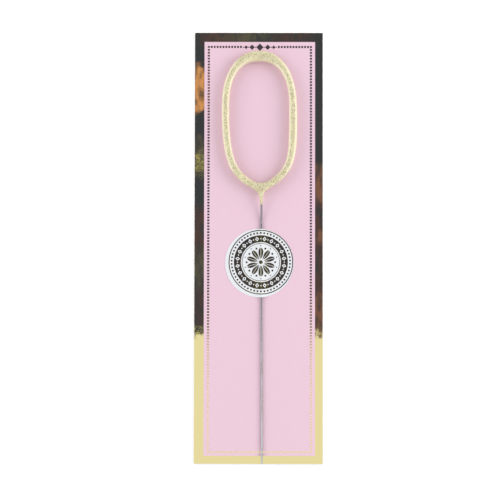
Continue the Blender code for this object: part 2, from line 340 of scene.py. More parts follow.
bpy.ops.mesh.primitive_plane_add(size=FLOOR_SIDE, location=(0, 0, -FLOOR_DROP))
floor = bpy.context.object
floor.name = "floor"
floor_paint, tree, shader = new_material("floor_white", (FLOOR_WHITE,) * 3, FLOOR_ROUGHNESS)
glow = blend(seen_directly(tree), 0, FLOOR_GLOW)
join_all(shader, Specular_IOR_Level=0, Emission_Color=(1, 1, 1), Emission_Strength=glow)
rays = add_node(tree, "LightPath").outputs
below = add_node(tree, "NewGeometry").outputs["Backfacing"]
either = add_node(
    tree, "MixShader", Fac=any_of(below, rays["Is Diffuse Ray"], rays["Is Shadow Ray"])
)
join(shader.outputs["BSDF"], either.inputs[1])
join(add_node(tree, "BsdfTransparent").outputs["BSDF"], either.inputs[2])
join(either.outputs["Shader"], tree.nodes["Material Output"].inputs["Surface"])
floor.data.materials.append(floor_paint)
print("floor", round(FLOOR_SIDE), "m a side")

# %% [markdown]
# ## Effects that finishes share
#
# All papers have a fine grain: short fibres that lie mostly one way. The foil and the pink sheet
# are worn a little along their edges. The dried mix glitters in small flecks, and the room that
# the foil mirrors has soft oval patches. Each effect is a node group, built once, and each
# material places it with its own values. A group gives out masks and values only.

# %% Start a node group and place one


def new_group(name, vectors, values, results):
    """A node group with named sockets. Gives the group, what goes in and what comes out."""
    group = bpy.data.node_groups.new(name, "ShaderNodeTree")
    for side, kind, labels in (
        ("INPUT", "Vector", vectors),
        ("INPUT", "Float", values),
        ("OUTPUT", "Float", results),
    ):
        for label in labels:
            group.interface.new_socket(label, in_out=side, socket_type="NodeSocket" + kind)
    given = group.nodes.new("NodeGroupInput").outputs
    return group, given, group.nodes.new("NodeGroupOutput").inputs


def use_group(group, **inputs):
    """Places a node group in a material, with its own values. Gives what comes out."""
    tree = tree_of(*inputs.values())
    return add_node(tree, "Group", {"node_tree": group}, **inputs).outputs


# %% Paper grain
CLOUD_SCALE = 0.06
CLOUD_SHARE = 0.4

grain_group, given, gives = new_group(
    "paper_grain", ("Vector",), ("Fibre Width", "Fibre Length"), ("Tone", "Height")
)
per_width = sums("DIVIDE", 1, given["Fibre Width"])
per_length = sums("DIVIDE", 1, given["Fibre Length"])
stretch = add_node(grain_group, "CombineXYZ", X=per_width, Y=per_length, Z=per_width)
stretched = vector_sums("MULTIPLY", given["Vector"], stretch.outputs["Vector"])
fibres = noise(stretched, 1.0, 3.0)
clouds = noise(stretched, CLOUD_SCALE, 2.0)
join(blend(CLOUD_SHARE, fibres, clouds), gives["Tone"])
join(fibres, gives["Height"])

# %% Wear along the edges of a sheet
CORNER_WEAR = 0.45
NICK_SCALE = 900.0
NICK_LEVEL = 0.42
NICK_GAIN = 4.0

wear_group, given, gives = new_group(
    "edge_wear", ("Vector", "Middle"), ("Half Width", "Half Length", "Reach"), ("Mask",)
)
offset = vector_sums("SUBTRACT", given["Vector"], given["Middle"])
insets = []
for axis, half in (("X", "Half Width"), ("Y", "Half Length")):
    from_middle = sums("ABSOLUTE", part_of(offset, axis))
    insets.append(sums("SUBTRACT", given[half], from_middle))
to_corner = times(sums("ADD", *insets), CORNER_WEAR)
nearest = sums("MINIMUM", sums("MINIMUM", *insets), to_corner)
nicks = noise(given["Vector"], NICK_SCALE, 4.0)
ragged = times(sums("SUBTRACT", nicks, NICK_LEVEL), NICK_GAIN)
reach = times(given["Reach"], ragged)
join(sums("LESS_THAN", nearest, reach), gives["Mask"])

# %% Flecks that catch the light
fleck_group, given, gives = new_group("flecks", ("Vector",), ("Size", "Share"), ("Mask", "Height"))
per_size = sums("DIVIDE", 1, given["Size"])
cells = add_node(fleck_group, "TexVoronoi", Vector=given["Vector"], Scale=per_size).outputs
luck = add_node(fleck_group, "SeparateColor", Color=cells["Color"]).outputs["Red"]
join(sums("LESS_THAN", luck, given["Share"]), gives["Mask"])
join(sums("SUBTRACT", 1, cells["Distance"]), gives["Height"])

# %% Oval patches with a soft edge
patch_group, given, gives = new_group(
    "soft_patch", ("Vector", "Centre", "Half Size"), ("Edge",), ("Mask",)
)
offset = vector_sums("SUBTRACT", given["Vector"], given["Centre"])
radius = vector_sums("LENGTH", vector_sums("DIVIDE", offset, given["Half Size"]))
inside = sums("DIVIDE", sums("SUBTRACT", 1, radius), given["Edge"])
join(within_one(inside), gives["Mask"])
print("groups:", ", ".join(group.name for group in bpy.data.node_groups))

# %% [markdown]
# ## What the mirror foil sees
#
# The gold border is a mirror. In the photograph its upper part is nearly black, with a few warm
# patches, and its lower end is pale gold: it shows a dark ceiling over the camera and a bright
# wall in front. A painted-on gradient would be wrong from every other side. So a dark ceiling
# hangs above the scene that only reflections can see. It ends in a frayed line where the foil
# turns bright. A few warm, soft patches on it, such as a room has, break up the black. On each
# side a light band stands for the lamps, and gives the round wire its bright lines.

# %% Hang the dark ceiling
CEILING_HEIGHT = 2000 * MM
CEILING_EDGE = -66 * MM
CEILING_FRAY = 90 * MM
CEILING_DEPTH = 6000 * MM
CEILING_WIDTH = 7600 * MM
CEILING_END = CEILING_EDGE - CEILING_FRAY / 2
UNSEEN_BY = ("camera", "diffuse", "shadow", "transmission", "volume_scatter")

ceiling_middle = (0, CEILING_END + CEILING_DEPTH / 2, CEILING_HEIGHT)
bpy.ops.mesh.primitive_plane_add(size=1, location=ceiling_middle)
ceiling = bpy.context.object
ceiling.name = "dark_ceiling"
ceiling.scale = (CEILING_WIDTH, CEILING_DEPTH, 1)
bpy.ops.object.transform_apply(location=True, rotation=True, scale=True)
for rays_name in UNSEEN_BY:
    setattr(ceiling, "visible_" + rays_name, False)
print("ceiling", round(CEILING_WIDTH, 1), "m wide and", round(CEILING_DEPTH, 1), "m deep")

# %% [markdown]
# The ceiling glows in its own colours, so they are the tones that a perfect mirror shows. Noise
# pushes the patches' outlines about and tears slanting streaks into them. Three small areas
# sparkle. The place and the half size of a patch are given in millimetres on the ceiling. The
# camera is 1 m and the ceiling 2 m over the card, so 3 mm up there show as 1 mm on the card.

# %% Choose the ceiling's tones and patches
CEILING_DARK = (0.054, 0.066, 0.135)
PATCH_COLOURS = {
    "orange": (0.80, 0.42, 0.29),
    "brown": (0.25, 0.138, 0.17),
    "olive": (0.125, 0.125, 0.165),
    "umber": (0.105, 0.072, 0.12),
}
SPARK_COLOUR = (1.0, 1.0, 0.5)
SIDE_GREY = (0.07, 0.07, 0.07)
BAND_WHITE = (0.5, 0.5, 0.5)
WALL_WHITE = (1.0, 1.0, 1.0)

# Colour, middle, half size and softness of the edge
CEILING_PATCHES = (
    ("umber", (-103, 112), (60, 62), 0.5),
    ("olive", (-103, 50), (30, 46), 0.5),
    ("umber", (-103, -20), (60, 46), 0.9),
    ("orange", (-112, 368), (32, 46), 0.12),
    ("olive", (-106, 250), (26, 40), 0.3),
    ("umber", (-66, 458), (46, 40), 0.5),
    ("olive", (-24, 462), (60, 28), 0.8),
    ("umber", (60, 458), (44, 36), 0.8),
    ("umber", (108, 70), (44, 180), 0.6),
    ("brown", (108, 198), (26, 37), 0.15),
    ("brown", (108, 106), (26, 15), 0.6),
    ("brown", (108, -32), (26, 44), 0.4),
    ("umber", (0, 51), (66, 62), 0.8),
)
SPARK_PATCHES = (
    ((-104, 236), (20, 28)),
    ((-104, -56), (34, 9)),
    ((106, -58), (24, 8)),
)
SPARK_SOFTNESS = 0.6
print("ceiling patches:", len(CEILING_PATCHES) + len(SPARK_PATCHES))

# %% Paint the ceiling
DARK_REACH = 900 * MM
BAND_PLACE = 550 * MM
BAND_WIDTH = 440 * MM
PUSH_SCALE = 70.0
PUSH_DEPTH = 34 * MM
RAGGED = {"detail": 6.0, "Roughness": 0.65}
STREAK_SLANT = math.radians(35)
STREAK_SCALES = (150, 34, 1)
STREAK_LEVELS = (0.41, 0.57)
STREAK_STRENGTHS = (0.2, 1.1)
SPARK_SCALE = 300.0
SPARK_LEVELS = (0.56, 0.61)
FRAY_SCALE = 110.0

ceiling_paint = bpy.data.materials.new("ceiling_paint")
ceiling_paint.use_nodes = True
tree = ceiling_paint.node_tree
tree.nodes.remove(tree.nodes["Principled BSDF"])
where = object_place(tree)
stir = noise(where, PUSH_SCALE, result="Color", **RAGGED)
pushed = vector_sums("MULTIPLY_ADD", stir, (PUSH_DEPTH, PUSH_DEPTH, 0), where)
pushed_zero = Vector((PUSH_DEPTH / 2, PUSH_DEPTH / 2, CEILING_HEIGHT))


def patch_mask(centre, half, softness):
    """1 inside an oval patch, whose place and half size are in millimetres."""
    centre = pushed_zero + Vector((*centre, 0)) * MM
    half = (half[0] * MM, half[1] * MM, 1)
    return use_group(patch_group, Vector=pushed, Centre=centre, Half_Size=half, Edge=softness)[0]


slanted = add_node(
    tree, "Mapping", Vector=where, Rotation=(0, 0, STREAK_SLANT), Scale=STREAK_SCALES
).outputs[0]
streaks = soft_step(noise(slanted, 1.0, 5.0), *STREAK_LEVELS)
torn = blend(streaks, *STREAK_STRENGTHS)
colour = CEILING_DARK
for name, centre, half, softness in CEILING_PATCHES:
    share = times(torn, patch_mask(centre, half, softness))
    colour = blend(share, colour, PATCH_COLOURS[name])
sparks = soft_step(noise(where, SPARK_SCALE, 2.0), *SPARK_LEVELS)
for centre, half in SPARK_PATCHES:
    share = times(sparks, patch_mask(centre, half, SPARK_SOFTNESS))
    colour = blend(share, colour, SPARK_COLOUR)
sideways = sums("ABSOLUTE", part_of(where, "X"))
colour = blend(sums("GREATER_THAN", sideways, DARK_REACH), colour, SIDE_GREY)
bands = sums("COMPARE", sideways, BAND_PLACE, BAND_WIDTH / 2)
colour = blend(bands, colour, BAND_WHITE)
frayed = noise(where, FRAY_SCALE, **RAGGED)
edge_place = sums("MULTIPLY_ADD", frayed, CEILING_FRAY, CEILING_END)
beyond = sums("LESS_THAN", part_of(where, "Y"), edge_place)
colour = blend(beyond, colour, WALL_WHITE)
glow = add_node(tree, "Emission", Color=colour, Strength=1.0).outputs["Emission"]
join(glow, tree.nodes["Material Output"].inputs["Surface"])
ceiling.data.materials.append(ceiling_paint)
print("ceiling nodes:", len(tree.nodes))

# %% [markdown]
# ## Gold foil
#
# Metallised paper is a mirror of tinted metal on paper that is never quite flat. The colour goes
# on Base Color with Metallic at 1. Two shallow bumps of a thousandth of a millimetre or two give
# the ragged edges that reflections have in such foil. The cut edges of the sheet are white
# paper, and along them the foil is rubbed off in small nicks. The dots on the pink sheet are of
# hot foil, which is stamped on: a redder and duller gold, worn thin in places.

# %% Make the foils' finishes
GOLD = (0.80, 0.70, 0.345)
HOT_FOIL_GOLD = (0.86, 0.66, 0.43)
PAPER_WHITE = (0.80, 0.78, 0.74)
CUT_ROUGHNESS = 0.7
POLISH = (0.008, 0.02)
HOT_FOIL_POLISH = (0.06, 0.10)
SMUDGE_SCALE = 90.0
THIN_SCALE = 1500.0
WAVE_SCALES_AND_DEPTHS = ((260.0, 0.0020 * MM), (1300.0, 0.0006 * MM))


def foil_waves(where):
    """The normal of foil that isn't quite flat: slow waves with finer ones on them."""
    normal = None
    for scale, depth in WAVE_SCALES_AND_DEPTHS:
        normal = add_bump(noise(where, scale, 2.0), depth, normal)
    return normal


def top_face(tree):
    """1 where the surface looks up, 0 on cut edges."""
    normal = add_node(tree, "NewGeometry").outputs["True Normal"]
    return sums("GREATER_THAN", part_of(normal, "Z"), 0.5)


def worn_edge(where, low, high, reach):
    """1 in the nicks along the edges of a sheet that lies between two corners."""
    half = (high - low) / 2
    sizes = {"Half_Width": half.x, "Half_Length": half.y, "Reach": reach}
    return use_group(wear_group, Vector=where, Middle=(low + high) / 2, **sizes)[0]


foil_sheet_finish, tree, shader = new_material("gold_foil", GOLD, POLISH[0], 1.0)
where = object_place(tree)
worn = worn_edge(where, foil_low, foil_high, 0.10 * MM)
metal = times(top_face(tree), sums("SUBTRACT", 1, worn))
polish = blend(noise(where, SMUDGE_SCALE, 3.0), *POLISH)
join_all(
    shader,
    Base_Color=blend(metal, PAPER_WHITE, GOLD),
    Metallic=metal,
    Roughness=blend(metal, CUT_ROUGHNESS, polish),
    Normal=foil_waves(where),
)

hot_foil_finish, tree, shader = new_material("hot_foil", HOT_FOIL_GOLD, HOT_FOIL_POLISH[0], 1.0)
where = object_place(tree)
polish = blend(noise(where, THIN_SCALE, 3.0), *HOT_FOIL_POLISH)
join_all(shader, Roughness=polish, Normal=foil_waves(where))
print("foils finished")

# %% [markdown]
# ## Papers of the card
#
# The pink sheet is coated paper printed in one flat tone, so its grain is faint: a slow
# unevenness of the ink and a fibre relief that only a grazing light finds. Its cut edge is white,
# and so are the nicks along it. Grey board is pressed from waste paper: flecked, fibrous and
# rough, and its cut edge shows layers. The liner on the back is plain uncoated paper.

# %% Make the paper finishes
PINK = (0.852, 0.600, 0.716)
LINER_WHITE = (0.72, 0.71, 0.68)
BOARD_GREY = (0.36, 0.33, 0.29)
PLY_GREY = (0.55, 0.52, 0.47)
PLY_SCALES = (700, 700, 9000)
PLY_LEVELS = (0.4, 0.65)
FIBRE_SLIMNESS = 4


def paper_finish(name, colour, roughness, fibre, tone_depth, relief):
    """Paper of one colour with grain. Gives the material, its tree and shader, and the tone."""
    material, tree, shader = new_material(name, colour, roughness)
    fibres = {"Fibre_Width": fibre, "Fibre_Length": fibre * FIBRE_SLIMNESS}
    grain = use_group(grain_group, Vector=object_place(tree), **fibres)
    darker = tuple(channel * (1 - tone_depth) for channel in colour)
    lighter = tuple(min(1.0, channel * (1 + tone_depth)) for channel in colour)
    tone = blend(grain["Tone"], darker, lighter)
    join_all(shader, Base_Color=tone, Normal=add_bump(grain["Height"], relief))
    return material, tree, shader, tone


pink_finish, tree, shader, tone = paper_finish(
    "pink_paper", PINK, roughness=0.5, fibre=0.12 * MM, tone_depth=0.03, relief=0.004 * MM
)
printed = blend(top_face(tree), PAPER_WHITE, tone)
worn = worn_edge(object_place(tree), pink_low, pink_high, 0.05 * MM)
join(blend(worn, printed, PAPER_WHITE), shader.inputs["Base Color"])

liner_finish, *_ = paper_finish(
    "liner_paper", LINER_WHITE, roughness=0.8, fibre=0.15 * MM, tone_depth=0.06, relief=0.01 * MM
)

board_finish, tree, shader, pulp = paper_finish(
    "grey_board", BOARD_GREY, roughness=0.95, fibre=0.18 * MM, tone_depth=0.25, relief=0.05 * MM
)
layers = add_node(tree, "Mapping", Vector=object_place(tree), Scale=PLY_SCALES).outputs[0]
plies = soft_step(noise(layers, 1.0, 3.0), *PLY_LEVELS)
join(blend(plies, pulp, PLY_GREY), shader.inputs["Base Color"])

for node_name, finish in (
    ("gold_foil_sheet", foil_sheet_finish),
    ("pink_face_sheet", pink_finish),
    ("backing_board", board_finish),
    ("back_liner", liner_finish),
):
    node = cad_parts[node_name]
    node.data.materials.clear()
    node.data.materials.append(finish)
print("card finished")

# %% [markdown]
# ## A line of hot-foil dots
#
# A line of small dots frames the pink sheet. Each is stamped from the same gold foil, square with
# rounded corners. They could be a pattern in the paper's material, but as thin pieces of metal
# foil they mirror the room as the border does, dark at the top and pale below, which is what the
# photograph shows. One dot is modelled for each side of the frame and repeated with an Array. The
# top row is broken in the middle.

# %% Helpers for the pieces


def start_fresh():
    """Deselects every piece, so that the next operator acts on one alone."""
    bpy.ops.object.select_all(action="DESELECT")


def deselect_all(kind):
    """Sets edit mode to pick that kind of element, deselects everything and leaves it."""
    bpy.ops.object.mode_set(mode="EDIT")
    bpy.ops.mesh.select_mode(type=kind)
    bpy.ops.mesh.select_all(action="DESELECT")
    bpy.ops.object.mode_set(mode="OBJECT")


def name_piece(name, material):
    """Names the piece that was just added and gives it its finish."""
    piece = bpy.context.object
    piece.name = name
    piece.data.name = name
    piece.data.materials.append(material)
    return piece


def apply_all(piece):
    """Applies the place and all modifiers, so that the mesh holds everything."""
    start_fresh()
    piece.select_set(True)
    bpy.context.view_layer.objects.active = piece
    bpy.ops.object.transform_apply(location=True, rotation=True, scale=True)
    for modifier in list(piece.modifiers):
        bpy.ops.object.modifier_apply(modifier=modifier.name)
    return piece


# %% Model a dot
DOT_WIDTH = 1.30 * MM
DOT_LENGTH = 1.10 * MM
DOT_ROUNDING_SHARE = 0.16 / 1.3
STAMP_SINK = 0.02 * MM
STAMP_RISE = 0.01 * MM
STAMP_LIFT = 0.003 * MM
STAMP_INSET_SHARE = 0.12
STAMP_DEPTH = STAMP_SINK + STAMP_RISE
STAMP_MIDDLE = FACE + STAMP_RISE - STAMP_DEPTH / 2


def crown_up(inset):
    """Insets the top face of the piece that was just added, and lifts what is inside."""
    piece = bpy.context.object
    deselect_all("FACE")
    for face in piece.data.polygons:
        face.select = face.normal.z > 0.9
    bpy.ops.object.mode_set(mode="EDIT")
    bpy.ops.mesh.inset(thickness=inset, depth=0)
    bpy.ops.transform.translate(value=(0, 0, STAMP_LIFT))
    bpy.ops.object.mode_set(mode="OBJECT")
    return piece


def add_dot(x, y, width, length):
    """A flat stamp with rounded corners, sunk a little into the paper."""
    start_fresh()
    bpy.ops.mesh.primitive_cube_add(size=1, location=(x, y, STAMP_MIDDLE))
    dot = bpy.context.object
    dot.scale = (width, length, STAMP_DEPTH)
    bpy.ops.object.transform_apply(location=False, rotation=False, scale=True)
    deselect_all("EDGE")
    for edge in dot.data.edges:
        a, b = (dot.data.vertices[index].co for index in edge.vertices)
        edge.select = a.z != b.z
    bpy.ops.object.mode_set(mode="EDIT")
    bpy.ops.mesh.bevel(offset=width * DOT_ROUNDING_SHARE, segments=2, affect="EDGES")
    bpy.ops.object.mode_set(mode="OBJECT")
    return crown_up(width * STAMP_INSET_SHARE)


print("a dot stands", in_mm(STAMP_RISE), "proud")

# %% Repeat it along each side
FRAME_LEFT = -29.36 * MM
FRAME_RIGHT = 30.52 * MM
FRAME_TOP = 117.58 * MM
FRAME_BOTTOM = -119.12 * MM
DOTS_ACROSS = 35
DOTS_DOWN = 137
GAP_DOTS = (12, 23)


def add_dot_row(name, x, y, count, step):
    """A row of stamped dots that rides on the card."""
    along_x = step[0] > 0
    add_dot(x, y, DOT_LENGTH if along_x else DOT_WIDTH, DOT_WIDTH if along_x else DOT_LENGTH)
    row = name_piece(name, hot_foil_finish)
    array = row.modifiers.new("row", "ARRAY")
    array.count = count
    array.use_relative_offset = False
    array.use_constant_offset = True
    array.constant_offset_displace = step
    apply_all(row)
    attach(row, "card")


across = (FRAME_RIGHT - FRAME_LEFT) / DOTS_ACROSS
down = (FRAME_TOP - FRAME_BOTTOM) / DOTS_DOWN
first_gap, last_gap = GAP_DOTS
for name, x in (("dots_left", FRAME_LEFT), ("dots_right", FRAME_RIGHT)):
    add_dot_row(name, x, FRAME_BOTTOM, DOTS_DOWN + 1, (0, down, 0))
for name, first, y, count in (
    ("dots_bottom", 1, FRAME_BOTTOM, DOTS_ACROSS - 1),
    ("dots_top_left", 1, FRAME_TOP, first_gap - 1),
    ("dots_top_right", last_gap + 1, FRAME_TOP, DOTS_ACROSS - 1 - last_gap),
):
    add_dot_row(name, FRAME_LEFT + across * first, y, count, (across, 0, 0))
print("dots", in_mm(across, down), "apart")

# %% [markdown]
# ## An ornament in the gap
#
# The break in the top row holds a plain ornament of the same foil: lozenges that get smaller
# towards both ends, each with a small dot beside it. A cylinder of four sides makes a lozenge, and
# its top is inset and lifted like that of the dots.

# %% Model the row of lozenges
ORNAMENT_X = (FRAME_LEFT + FRAME_RIGHT) / 2
ORNAMENT_Y = FRAME_TOP - 0.15 * MM
LOZENGE_SIZES = (4.4 * MM, 3.2 * MM, 2.2 * MM)
LOZENGE_GAP = 0.8 * MM
SMALL_DOT = 0.6 * MM


def add_lozenge(x, y, size):
    """A flat lozenge with a slightly raised middle."""
    start_fresh()
    bpy.ops.mesh.primitive_cylinder_add(
        vertices=4, radius=size / 2, depth=STAMP_DEPTH, location=(x, y, STAMP_MIDDLE)
    )
    return crown_up(size * STAMP_INSET_SHARE)


parts = []
reach = -LOZENGE_SIZES[0] / 2
for size in LOZENGE_SIZES:
    middle = reach + size / 2
    reach += size
    for side in (1, -1):
        if side > 0 or middle > 0:
            parts.append(add_lozenge(ORNAMENT_X + side * middle, ORNAMENT_Y, size))
        dot_x = ORNAMENT_X + side * (reach + LOZENGE_GAP / 2)
        parts.append(add_dot(dot_x, ORNAMENT_Y, SMALL_DOT, SMALL_DOT))
    reach += LOZENGE_GAP
start_fresh()
for part in parts:
    part.select_set(True)
bpy.context.view_layer.objects.active = parts[0]
bpy.ops.object.join()
ornament = apply_all(name_piece("foil_ornament", hot_foil_finish))
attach(ornament, "card")
print("ornament", in_mm(*ornament.dimensions))

# %% [markdown]
# ## The route of the wire
#
# One wire runs up the stem, past the junction, round the number and back. The number is drawn
# with two cubic curves for its arms and a squarish half ellipse for its crown. The measures are
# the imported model's own, in millimetres, so the finer pieces lie exactly where it has them.

# %% Take the model's measures of the wire and the number
WIRE_DIAMETER = 1.2
NUMBER_WIDTH = 39.5
CROWN_HEIGHT = 30.6
ARMS_HEIGHT = 47.4
NUMBER_SHIFT = -0.95
JUNCTION_SHIFT = -0.15
JUNCTION_V = 43.0
WAIST_V = JUNCTION_V + ARMS_HEIGHT
CROWN_ROUNDNESS = 2.33
ARM_RISE = math.radians(27)
RIGHT_ARM_PULL_SHARES = (0.455, 0.66)
LEFT_ARM_PULL_SHARES = (0.345, 0.765)
TAIL_LENGTH = 9.2
TAIL_SHIFT = 0.18
TAIL_MOUTH_V = JUNCTION_V - TAIL_LENGTH
STEM_FREE_V = 22.0
STEM_END_GAP = 0.4
STEM_KINK_SHARES = ((0.30, 0.0), (0.62, 1.15))
STRAND_OFFSET = 0.76
CROWN_RADIUS = 3.2
WIRE_REST_GAP = 0.1
STEM_LEVEL = FACE / MM + WIRE_REST_GAP + WIRE_DIAMETER / 2
NUMBER_LEVEL = FACE / MM + WIRE_REST_GAP + CROWN_RADIUS
STEM_END_V = -(LABEL_Y / MM + foil_high.y / MM - STEM_END_GAP) / math.cos(STEM_LEAN)
print("the number is", in_mm(NUMBER_WIDTH * MM, (ARMS_HEIGHT + CROWN_HEIGHT) * MM))

# %% Helpers for curves
DENSE_POINTS = 240


def bezier(start, start_pull, end_pull, end, count):
    """Points along one cubic curve, with both ends."""
    points = []
    for step in range(count):
        t = step / (count - 1)
        near, far = start * (1 - t) ** 3, end * t**3
        points.append(near + start_pull * 3 * t * (1 - t) ** 2 + end_pull * 3 * t * t * (1 - t) + far)
    return points


def even_points(points, count):
    """The same route in a given number of equal steps."""
    reach = [0.0]
    for a, b in zip(points, points[1:]):
        reach.append(reach[-1] + (b - a).length)
    even, leg = [], 0
    for step in range(count):
        target = reach[-1] * step / (count - 1)
        while leg < len(points) - 2 and reach[leg + 1] < target:
            leg += 1
        share = (target - reach[leg]) / (reach[leg + 1] - reach[leg])
        even.append(points[leg].lerp(points[leg + 1], min(share, 1.0)))
    return even


def smooth_route(guides, steps):
    """A smooth curve through guide points, with so many steps between two of them."""
    ends = [guides[0] * 2 - guides[1], *guides, guides[-1] * 2 - guides[-2]]
    points = []
    for a, b, c, d in zip(ends, ends[1:], ends[2:], ends[3:]):
        pull = (c - b).length / 3
        along_b = (c - a).normalized() * pull
        along_c = (d - b).normalized() * pull
        points += bezier(b, b + along_b, c - along_c, c, steps + 1)[:-1]
    return [*points, guides[-1]]


# %% Draw the number's middle line


def arm(side, start):
    """One side of the number, from near the junction up to the waist. Side is 1 or -1."""
    low_pull, high_pull = RIGHT_ARM_PULL_SHARES if side > 0 else LEFT_ARM_PULL_SHARES
    waist = Vector((NUMBER_SHIFT + side * NUMBER_WIDTH / 2, WAIST_V))
    outwards = Vector((side * math.cos(ARM_RISE), math.sin(ARM_RISE)))
    start_pull = start + outwards * ARMS_HEIGHT * low_pull
    end_pull = waist - Vector((0, ARMS_HEIGHT * high_pull))
    return bezier(start, start_pull, end_pull, waist, DENSE_POINTS)


def crown():
    """The top of the number from the right waist round to the left."""
    points = []
    for step in range(1, DENSE_POINTS):
        angle = math.pi * step / DENSE_POINTS
        across = math.copysign(abs(math.cos(angle)) ** (2 / CROWN_ROUNDNESS), math.cos(angle))
        up = math.sin(angle) ** (2 / CROWN_ROUNDNESS)
        u = NUMBER_SHIFT + across * NUMBER_WIDTH / 2
        points.append(Vector((u, WAIST_V + up * CROWN_HEIGHT)))
    return points


def number_route(right_start, left_start, count):
    """The number's middle line, up the right side, over the crown and down the left side."""
    route = arm(1, right_start) + crown() + arm(-1, left_start)[::-1]
    return even_points(route, count)


def level_at(v):
    """Height of the wire's middle: low at the stem, and level with the mix from the tail up."""
    share = (v - STEM_FREE_V) / (JUNCTION_V - TAIL_LENGTH / 2 - STEM_FREE_V)
    share = max(0.0, min(1.0, share))
    return STEM_LEVEL + (NUMBER_LEVEL - STEM_LEVEL) * share * share * (3 - 2 * share)


def in_scene(points):
    """Places on the stem's frame in millimetres, as places in the scene at the wire's level."""
    return [place(p.x * MM, p.y * MM, level_at(p.y) * MM) for p in points]


# %% [markdown]
# ## The wire
#
# The wire is drawn steel of 1.2 mm. A curve with a round bevel is the natural way to make it. The
# curve becomes a mesh, so that its cut end can be dressed: the cutter leaves a small pinched
# face, made by a bevel of the end's rim. Drawing leaves fine lines along the wire, so the
# finish stretches its noise along Y, the way the stem runs. A thin film dulls it here and there.
# From the sticker up to the mix the steel's colour is darker. That is painted shade, standing for
# the darker reflection that the wire shows there.

# %% Make the steel
STEEL_GREY = (0.5, 0.505, 0.515)
STREAK_GREYS = ((0.53, 0.545, 0.56), (0.64, 0.65, 0.66))
FILM_GREY = (0.50, 0.50, 0.495)
# A darker grey: painted shade on the wire above the sticker.
PAINTED_SHADE_GREY = (0.30, 0.305, 0.315)
DRAWN_SCALES = (14000, 260, 14000)
FILM_SCALE = 220.0
FILM_LEVELS = (0.45, 0.7)
STEEL_ROUGHNESS = (0.14, 0.20)
LINE_RELIEF = 0.003 * MM
PAINTED_SHADE_START = LABEL_Y + 20 * MM
PAINTED_SHADE_END = PAINTED_SHADE_START + 6 * MM

steel_finish, tree, shader = new_material("drawn_steel", STEEL_GREY, STEEL_ROUGHNESS[1], 1.0)
where = object_place(tree)
drawn = add_node(tree, "Mapping", Vector=where, Scale=DRAWN_SCALES).outputs[0]
lines = noise(drawn, 1.0, 3.0)
film = soft_step(noise(where, FILM_SCALE, 4.0), *FILM_LEVELS)
steel = blend(film, blend(lines, *STREAK_GREYS), FILM_GREY)
# Painted shade: the colour turns darker from the sticker's top edge up to the mix.
painted_shade = soft_step(part_of(where, "Y"), PAINTED_SHADE_START, PAINTED_SHADE_END)
join_all(
    shader,
    Base_Color=blend(painted_shade, steel, PAINTED_SHADE_GREY),
    Roughness=blend(film, *STEEL_ROUGHNESS),
    Normal=add_bump(lines, LINE_RELIEF),
)
print("tarnish from y", in_mm(PAINTED_SHADE_START))

# %% Lay out the whole wire
NUMBER_POINTS = 160
STEM_POINTS = 40
KINK_STEPS = 10


def wire_route():
    """The whole wire: up the stem, past the junction, round the number and back."""
    right_strand = Vector((JUNCTION_SHIFT + STRAND_OFFSET, JUNCTION_V - STRAND_OFFSET))
    left_strand = Vector((JUNCTION_SHIFT - STRAND_OFFSET, JUNCTION_V - STRAND_OFFSET))
    return_end = left_strand - Vector((0, STRAND_OFFSET))
    right_start = right_strand + Vector((STRAND_OFFSET, STRAND_OFFSET * 2))
    left_start = left_strand + Vector((-STRAND_OFFSET, STRAND_OFFSET * 2))
    number = number_route(right_start, left_start, NUMBER_POINTS)
    guides = [Vector((0, STEM_FREE_V))]
    for along, sideways in STEM_KINK_SHARES:
        v = STEM_FREE_V + (TAIL_MOUTH_V - STEM_FREE_V) * along
        guides.append(Vector((sideways * TAIL_SHIFT, v)))
    guides.append(Vector((TAIL_SHIFT, TAIL_MOUTH_V)))
    stem = even_points([Vector((0, STEM_END_V)), guides[0]], STEM_POINTS)[:-1]
    kinks = smooth_route([*guides, right_strand, number[0]], KINK_STEPS)
    way_back = smooth_route([number[-1], left_strand, return_end], KINK_STEPS)
    return in_scene([*stem, *kinks, *number[1:], *way_back[1:]])


route = wire_route()
print("wire length", in_mm(sum((b - a).length for a, b in zip(route, route[1:]))))

# %% Run the wire along its route
WIRE_ROUNDNESS = 4

start_fresh()
data = bpy.data.curves.new("steel_wire", "CURVE")
data.dimensions = "3D"
data.bevel_depth = WIRE_DIAMETER / 2 * MM
data.bevel_resolution = WIRE_ROUNDNESS
data.use_fill_caps = True
spline = data.splines.new("POLY")
spline.points.add(len(route) - 1)
for slot, point in zip(spline.points, route):
    slot.co = (*point, 1)
wire = bpy.data.objects.new("steel_wire", data)
bpy.context.scene.collection.objects.link(wire)
wire.select_set(True)
bpy.context.view_layer.objects.active = wire
bpy.ops.object.convert(target="MESH")
wire = name_piece("steel_wire", steel_finish)
print("wire faces:", len(wire.data.polygons))

# %% Dress its cut end
WELD = 0.001 * MM
CUT_FLATNESS = 0.02 * MM
CUT_BEVEL = 0.14 * MM
SMOOTH_UP_TO = math.radians(40)

bpy.ops.object.mode_set(mode="EDIT")
bpy.ops.mesh.select_all(action="SELECT")
bpy.ops.mesh.remove_doubles(threshold=WELD)
bpy.ops.mesh.normals_make_consistent(inside=False)
bpy.ops.mesh.select_all(action="DESELECT")
bpy.ops.object.mode_set(mode="OBJECT")
stem_end = route[0].y
for edge in wire.data.edges:
    ends = [wire.data.vertices[index].co for index in edge.vertices]
    edge.select = all(abs(end.y - stem_end) < CUT_FLATNESS for end in ends)
bpy.ops.object.mode_set(mode="EDIT")
bpy.ops.mesh.bevel(offset=CUT_BEVEL, segments=2, affect="EDGES")
bpy.ops.object.mode_set(mode="OBJECT")
bpy.ops.object.shade_smooth_by_angle(angle=SMOOTH_UP_TO)
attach(wire, "sparkler")
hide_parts("core_wire")
print("faces with its end dressed:", len(wire.data.polygons))

